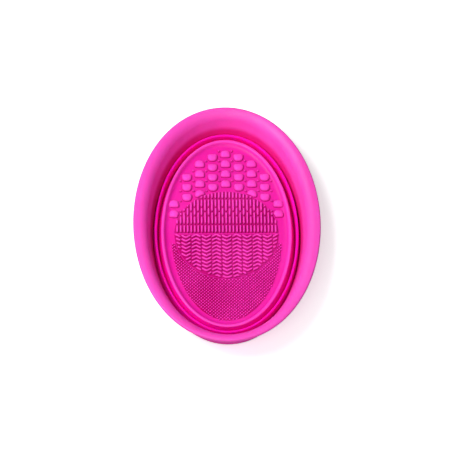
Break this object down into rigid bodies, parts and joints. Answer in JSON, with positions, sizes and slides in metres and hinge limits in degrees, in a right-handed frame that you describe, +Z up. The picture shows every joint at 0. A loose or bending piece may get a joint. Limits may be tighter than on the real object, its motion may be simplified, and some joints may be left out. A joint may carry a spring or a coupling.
{
  "type": "collapsible brush cleaning bowl",
  "caption": "Oval folding silicone bowl with a flared rim, pull-up wall stages and a floor of bars, chevrons, knobs and fine dots for washing cosmetic brushes.",
  "frame": {"origin": "centre of the bowl on the surface that it stands on, at the bottom of the foot ring", "axes": "+Z up, +Y along the bowl towards the end with the knobs, +X to the right seen from the end with the dots"},
  "size_m": [0.1148, 0.1684, 0.0211],
  "materials": {
    "silicone": "satin moulded silicone, slightly translucent",
    "silicone_texture": "satin moulded silicone in fine relief",
    "silicone_web": "thin silicone that lets light through"
  },
  "bodies": {
    "base": {"base_foot_ring": "silicone", "base_floor": "silicone", "floor_border": "silicone", "bar_ribs": "silicone_texture", "chevron_ribs": "silicone_texture", "rising_knobs": "silicone_texture", "falling_knobs": "silicone_texture", "corner_studs": "silicone_texture", "fine_dots": "silicone_texture"},
    "middle": {"middle_ring": "silicone", "lower_fold_web": "silicone_web"},
    "rim": {"rim_wall": "silicone", "rim_lip": "silicone", "upper_fold_web": "silicone_web"}
  },
  "joints": [
    {"name": "middle_lift", "type": "slide", "parent": "base", "child": "middle", "axis": [0, 0, 1], "range_m": [0, 0.0135], "deforming": ["lower_fold_web"]},
    {"name": "rim_lift", "type": "slide", "parent": "middle", "child": "rim", "axis": [0, 0, 1], "range_m": [0, 0.0135], "deforming": ["upper_fold_web"]}
  ]
}
